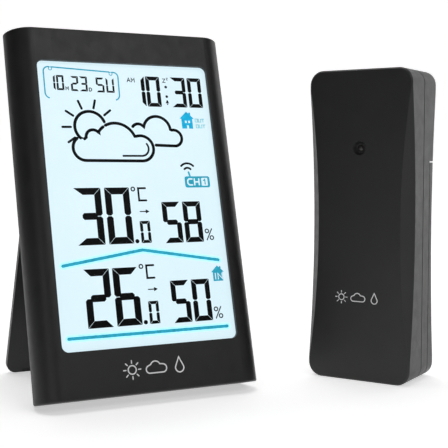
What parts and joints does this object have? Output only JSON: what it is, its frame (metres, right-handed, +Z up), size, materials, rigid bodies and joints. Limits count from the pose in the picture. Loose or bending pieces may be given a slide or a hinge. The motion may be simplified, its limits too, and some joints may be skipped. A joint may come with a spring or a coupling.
{
  "type": "home weather station",
  "caption": "Leaning display console with a large liquid crystal face and a fold-out stand, with its free-standing wireless outdoor temperature and humidity sensor.",
  "frame": {"origin": "centre of the whole part's footprint, on the table that both units stand on", "axes": "+Z up, +X to the right as one faces the console's display, +Y from the display towards the stand leg"},
  "size_m": [0.1704, 0.1016, 0.1443],
  "materials": {
    "console_black": "satin",
    "sensor_grey": "satin",
    "button_grey": "matte",
    "clear_window": "polished",
    "lcd_glass": "satin",
    "guide_white": "satin",
    "board_green": "satin",
    "parts_black": "matte",
    "parts_white": "matte",
    "rubber_black": "matte",
    "plated_steel": "satin",
    "aerial_copper": "satin",
    "cell_sleeve": "gloss",
    "led_lens": "gloss"
  },
  "bodies": {
    "console": {"front_bezel": "console_black", "rear_cover": "console_black", "display_window": "clear_window", "lcd_panel": "lcd_glass", "lcd_frame": "guide_white", "light_guide": "guide_white", "backlight_leds": "parts_white", "backlight_strip": "board_green", "zebra_strip": "rubber_black", "main_board": "board_green", "board_chips": "parts_black", "radio_module": "board_green", "radio_antenna": "aerial_copper", "buzzer": "parts_black", "climate_element": "parts_white", "button_switches": "parts_black", "snooze_switch": "parts_black", "battery_springs": "plated_steel", "battery_contacts": "plated_steel", "case_screws": "plated_steel", "board_screws": "plated_steel", "hinge_pin_left": "plated_steel", "hinge_pin_right": "plated_steel", "battery_1": "cell_sleeve", "battery_2": "cell_sleeve", "battery_3": "cell_sleeve"},
    "sensor": {"sensor_front_cover": "sensor_grey", "sensor_back_case": "sensor_grey", "sensor_led_lens": "led_lens", "sensor_board": "board_green", "sensor_chips": "parts_black", "sensor_probe": "parts_white", "sensor_antenna": "aerial_copper", "sensor_battery_springs": "plated_steel", "sensor_battery_contacts": "plated_steel", "channel_switch": "parts_black", "transmit_switch": "parts_black", "sensor_screws": "plated_steel", "sensor_board_screws": "plated_steel", "sensor_seal": "rubber_black", "sensor_battery_1": "cell_sleeve", "sensor_battery_2": "cell_sleeve"},
    "stand_leg": {"stand_leg": "console_black", "leg_pads": "rubber_black"},
    "battery_cover": {"battery_cover": "console_black"},
    "snooze_button": {"snooze_button": "button_grey"},
    "sensor_battery_door": {"sensor_battery_door": "sensor_grey"},
    "channel_knob": {"channel_knob": "parts_black"},
    "transmit_button": {"transmit_button": "parts_black"},
    "mode_button": {"mode_button": "button_grey"},
    "alarm_button": {"alarm_button": "button_grey"},
    "channel_button": {"channel_button": "button_grey"},
    "up_button": {"up_button": "button_grey"},
    "down_button": {"down_button": "button_grey"},
    "wave_button": {"wave_button": "button_grey"}
  },
  "joints": [
    {"name": "leg_hinge", "type": "hinge", "parent": "console", "child": "stand_leg", "pos_m": [-0.03916, 0.02244, 0.12332], "axis": [1, 0, 0], "range_deg": [-27.32, 0]},
    {"name": "battery_cover_lift", "type": "slide", "parent": "console", "child": "battery_cover", "axis": [0, 0.9642, -0.2651], "range_m": [0, 0.02]},
    {"name": "snooze_press", "type": "slide", "parent": "console", "child": "snooze_button", "axis": [0, -0.2651, -0.9642], "range_m": [0, 0.0005], "stiffness_N_per_m": 1500},
    {"name": "sensor_lift", "type": "slide", "parent": "console", "child": "sensor", "axis": [0, 0, 1], "range_m": [0, 0.15]},
    {"name": "sensor_door_slide", "type": "slide", "parent": "sensor", "child": "sensor_battery_door", "axis": [0.8537, 0.5207, 0], "range_m": [0, 0.03]},
    {"name": "channel_slide", "type": "slide", "parent": "sensor", "child": "channel_knob", "axis": [0.5207, -0.8537, 0], "range_m": [0, 0.004]},
    {"name": "transmit_press", "type": "slide", "parent": "sensor", "child": "transmit_button", "axis": [-0.8537, -0.5207, 0], "range_m": [0, 0.0005], "stiffness_N_per_m": 800},
    {"name": "mode_press", "type": "slide", "parent": "console", "child": "mode_button", "axis": [0, -0.9642, 0.2651], "range_m": [0, 0.0005], "stiffness_N_per_m": 1000},
    {"name": "alarm_press", "type": "slide", "parent": "console", "child": "alarm_button", "axis": [0, -0.9642, 0.2651], "range_m": [0, 0.0005], "stiffness_N_per_m": 1000},
    {"name": "channel_press", "type": "slide", "parent": "console", "child": "channel_button", "axis": [0, -0.9642, 0.2651], "range_m": [0, 0.0005], "stiffness_N_per_m": 1000},
    {"name": "up_press", "type": "slide", "parent": "console", "child": "up_button", "axis": [0, -0.9642, 0.2651], "range_m": [0, 0.0005], "stiffness_N_per_m": 1000},
    {"name": "down_press", "type": "slide", "parent": "console", "child": "down_button", "axis": [0, -0.9642, 0.2651], "range_m": [0, 0.0005], "stiffness_N_per_m": 1000},
    {"name": "wave_press", "type": "slide", "parent": "console", "child": "wave_button", "axis": [0, -0.9642, 0.2651], "range_m": [0, 0.0005], "stiffness_N_per_m": 1000}
  ]
}
